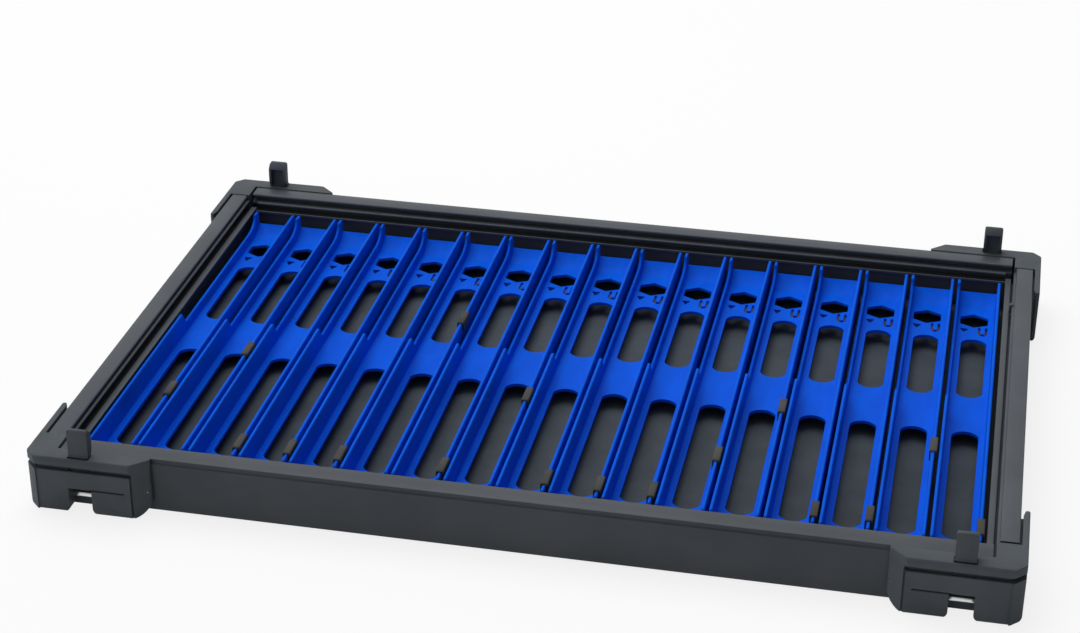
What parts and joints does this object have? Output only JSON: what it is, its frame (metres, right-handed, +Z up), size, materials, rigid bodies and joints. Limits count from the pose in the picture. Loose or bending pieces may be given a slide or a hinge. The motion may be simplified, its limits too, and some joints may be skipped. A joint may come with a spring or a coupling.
{
  "type": "winder tray",
  "caption": "Shallow rectangular frame with moulded corners and upright catches, holding a row of lift-out line winders, each with a sliding clip.",
  "frame": {"origin": "under the middle of the tray, at the height of the corner blocks' feet", "axes": "+X along the tray's length to the right, +Y to the rear along the winders, +Z up"},
  "size_m": [0.464, 0.32, 0.0438],
  "materials": {
    "rail_aluminium": "dark grey anodised, satin",
    "block_plastic": "slate grey moulded plastic with a fine grain",
    "winder_plastic": "bright blue moulded plastic, semi-gloss",
    "slider_plastic": "warm grey moulded plastic",
    "panel_plastic": "dark grey sheet, matt",
    "steel": "bright steel"
  },
  "bodies": {
    "frame": {"front_rail": "rail_aluminium", "rear_rail": "rail_aluminium", "left_rail": "rail_aluminium", "right_rail": "rail_aluminium", "floor_panel": "panel_plastic", "corner_block_rear_right": "block_plastic", "corner_block_rear_left": "block_plastic", "corner_block_front_right": "block_plastic", "corner_block_front_left": "block_plastic", "hook_pivot_pin_rear_right": "steel", "hook_pivot_pin_rear_left": "steel", "hook_pivot_pin_front_right": "steel", "hook_pivot_pin_front_left": "steel", "latch_bar_rear_right": "steel", "latch_bar_rear_left": "steel", "latch_bar_front_right": "steel", "latch_bar_front_left": "steel", "wing_pin_rear_right": "steel", "wing_pin_rear_left": "steel", "wing_pin_front_right": "steel", "wing_pin_front_left": "steel"},
    "hook_rear_right_body": {"hook_rear_right": "block_plastic"},
    "hook_rear_left_body": {"hook_rear_left": "block_plastic"},
    "hook_front_right_body": {"hook_front_right": "block_plastic"},
    "hook_front_left_body": {"hook_front_left": "block_plastic"},
    "winder_01_body": {"winder_01": "winder_plastic"},
    "slider_01_body": {"slider_01": "slider_plastic"},
    "winder_02_body": {"winder_02": "winder_plastic"},
    "slider_02_body": {"slider_02": "slider_plastic"},
    "winder_03_body": {"winder_03": "winder_plastic"},
    "slider_03_body": {"slider_03": "slider_plastic"},
    "winder_04_body": {"winder_04": "winder_plastic"},
    "slider_04_body": {"slider_04": "slider_plastic"},
    "winder_05_body": {"winder_05": "winder_plastic"},
    "slider_05_body": {"slider_05": "slider_plastic"},
    "winder_06_body": {"winder_06": "winder_plastic"},
    "slider_06_body": {"slider_06": "slider_plastic"},
    "winder_07_body": {"winder_07": "winder_plastic"},
    "slider_07_body": {"slider_07": "slider_plastic"},
    "winder_08_body": {"winder_08": "winder_plastic"},
    "slider_08_body": {"slider_08": "slider_plastic"},
    "winder_09_body": {"winder_09": "winder_plastic"},
    "slider_09_body": {"slider_09": "slider_plastic"},
    "winder_10_body": {"winder_10": "winder_plastic"},
    "slider_10_body": {"slider_10": "slider_plastic"},
    "winder_11_body": {"winder_11": "winder_plastic"},
    "slider_11_body": {"slider_11": "slider_plastic"},
    "winder_12_body": {"winder_12": "winder_plastic"},
    "slider_12_body": {"slider_12": "slider_plastic"},
    "winder_13_body": {"winder_13": "winder_plastic"},
    "slider_13_body": {"slider_13": "slider_plastic"},
    "winder_14_body": {"winder_14": "winder_plastic"},
    "slider_14_body": {"slider_14": "slider_plastic"},
    "winder_15_body": {"winder_15": "winder_plastic"},
    "slider_15_body": {"slider_15": "slider_plastic"},
    "winder_16_body": {"winder_16": "winder_plastic"},
    "slider_16_body": {"slider_16": "slider_plastic"},
    "winder_17_body": {"winder_17": "winder_plastic"},
    "slider_17_body": {"slider_17": "slider_plastic"}
  },
  "joints": [
    {"name": "hook_rear_right_spring_back", "type": "hinge", "parent": "frame", "child": "hook_rear_right_body", "pos_m": [0.20515, 0.1556, 0.0202], "axis": [-1, 0, 0], "range_deg": [0, 8], "stiffness_Nm_per_rad": 0.4},
    {"name": "hook_rear_left_spring_back", "type": "hinge", "parent": "frame", "child": "hook_rear_left_body", "pos_m": [-0.20515, 0.1556, 0.0202], "axis": [-1, 0, 0], "range_deg": [0, 8], "stiffness_Nm_per_rad": 0.4},
    {"name": "hook_front_right_spring_back", "type": "hinge", "parent": "frame", "child": "hook_front_right_body", "pos_m": [0.20515, -0.1556, 0.0202], "axis": [1, 0, 0], "range_deg": [0, 8], "stiffness_Nm_per_rad": 0.4},
    {"name": "hook_front_left_spring_back", "type": "hinge", "parent": "frame", "child": "hook_front_left_body", "pos_m": [-0.20515, -0.1556, 0.0202], "axis": [1, 0, 0], "range_deg": [0, 8], "stiffness_Nm_per_rad": 0.4},
    {"name": "winder_01_lift", "type": "slide", "parent": "frame", "child": "winder_01_body", "axis": [0, 0, 1], "range_m": [0, 0.06]},
    {"name": "winder_02_lift", "type": "slide", "parent": "frame", "child": "winder_02_body", "axis": [0, 0, 1], "range_m": [0, 0.06]},
    {"name": "winder_03_lift", "type": "slide", "parent": "frame", "child": "winder_03_body", "axis": [0, 0, 1], "range_m": [0, 0.06]},
    {"name": "winder_04_lift", "type": "slide", "parent": "frame", "child": "winder_04_body", "axis": [0, 0, 1], "range_m": [0, 0.06]},
    {"name": "winder_05_lift", "type": "slide", "parent": "frame", "child": "winder_05_body", "axis": [0, 0, 1], "range_m": [0, 0.06]},
    {"name": "winder_06_lift", "type": "slide", "parent": "frame", "child": "winder_06_body", "axis": [0, 0, 1], "range_m": [0, 0.06]},
    {"name": "winder_07_lift", "type": "slide", "parent": "frame", "child": "winder_07_body", "axis": [0, 0, 1], "range_m": [0, 0.06]},
    {"name": "winder_08_lift", "type": "slide", "parent": "frame", "child": "winder_08_body", "axis": [0, 0, 1], "range_m": [0, 0.06]},
    {"name": "winder_09_lift", "type": "slide", "parent": "frame", "child": "winder_09_body", "axis": [0, 0, 1], "range_m": [0, 0.06]},
    {"name": "winder_10_lift", "type": "slide", "parent": "frame", "child": "winder_10_body", "axis": [0, 0, 1], "range_m": [0, 0.06]},
    {"name": "winder_11_lift", "type": "slide", "parent": "frame", "child": "winder_11_body", "axis": [0, 0, 1], "range_m": [0, 0.06]},
    {"name": "winder_12_lift", "type": "slide", "parent": "frame", "child": "winder_12_body", "axis": [0, 0, 1], "range_m": [0, 0.06]},
    {"name": "winder_13_lift", "type": "slide", "parent": "frame", "child": "winder_13_body", "axis": [0, 0, 1], "range_m": [0, 0.06]},
    {"name": "winder_14_lift", "type": "slide", "parent": "frame", "child": "winder_14_body", "axis": [0, 0, 1], "range_m": [0, 0.06]},
    {"name": "winder_15_lift", "type": "slide", "parent": "frame", "child": "winder_15_body", "axis": [0, 0, 1], "range_m": [0, 0.06]},
    {"name": "winder_16_lift", "type": "slide", "parent": "frame", "child": "winder_16_body", "axis": [0, 0, 1], "range_m": [0, 0.06]},
    {"name": "winder_17_lift", "type": "slide", "parent": "frame", "child": "winder_17_body", "axis": [0, 0, 1], "range_m": [0, 0.06]},
    {"name": "slider_01_travel", "type": "slide", "parent": "winder_01_body", "child": "slider_01_body", "axis": [0, 1, 0], "range_m": [-0.04558, 0.19742]},
    {"name": "slider_02_travel", "type": "slide", "parent": "winder_02_body", "child": "slider_02_body", "axis": [0, 1, 0], "range_m": [-0.09264, 0.15036]},
    {"name": "slider_03_travel", "type": "slide", "parent": "winder_03_body", "child": "slider_03_body", "axis": [0, 1, 0], "range_m": [-0.00385, 0.23915]},
    {"name": "slider_04_travel", "type": "slide", "parent": "winder_04_body", "child": "slider_04_body", "axis": [0, 1, 0], "range_m": [-0.00385, 0.23915]},
    {"name": "slider_05_travel", "type": "slide", "parent": "winder_05_body", "child": "slider_05_body", "axis": [0, 1, 0], "range_m": [-0.00346, 0.23954]},
    {"name": "slider_06_travel", "type": "slide", "parent": "winder_06_body", "child": "slider_06_body", "axis": [0, 1, 0], "range_m": [-0.14893, 0.09407]},
    {"name": "slider_07_travel", "type": "slide", "parent": "winder_07_body", "child": "slider_07_body", "axis": [0, 1, 0], "range_m": [-0.0032, 0.2398]},
    {"name": "slider_08_travel", "type": "slide", "parent": "winder_08_body", "child": "slider_08_body", "axis": [0, 1, 0], "range_m": [-0.07704, 0.16596]},
    {"name": "slider_09_travel", "type": "slide", "parent": "winder_09_body", "child": "slider_09_body", "axis": [0, 1, 0], "range_m": [-0.00294, 0.24006]},
    {"name": "slider_10_travel", "type": "slide", "parent": "winder_10_body", "child": "slider_10_body", "axis": [0, 1, 0], "range_m": [-0.00255, 0.24045]},
    {"name": "slider_11_travel", "type": "slide", "parent": "winder_11_body", "child": "slider_11_body", "axis": [0, 1, 0], "range_m": [-0.00294, 0.24006]},
    {"name": "slider_12_travel", "type": "slide", "parent": "winder_12_body", "child": "slider_12_body", "axis": [0, 1, 0], "range_m": [-0.04064, 0.20236]},
    {"name": "slider_13_travel", "type": "slide", "parent": "winder_13_body", "child": "slider_13_body", "axis": [0, 1, 0], "range_m": [-0.09264, 0.15036]},
    {"name": "slider_14_travel", "type": "slide", "parent": "winder_14_body", "child": "slider_14_body", "axis": [0, 1, 0], "range_m": [-0.00216, 0.24084]},
    {"name": "slider_15_travel", "type": "slide", "parent": "winder_15_body", "child": "slider_15_body", "axis": [0, 1, 0], "range_m": [-0.00346, 0.23954]},
    {"name": "slider_16_travel", "type": "slide", "parent": "winder_16_body", "child": "slider_16_body", "axis": [0, 1, 0], "range_m": [-0.07106, 0.17194]},
    {"name": "slider_17_travel", "type": "slide", "parent": "winder_17_body", "child": "slider_17_body", "axis": [0, 1, 0], "range_m": [-0.00294, 0.24006]}
  ]
}
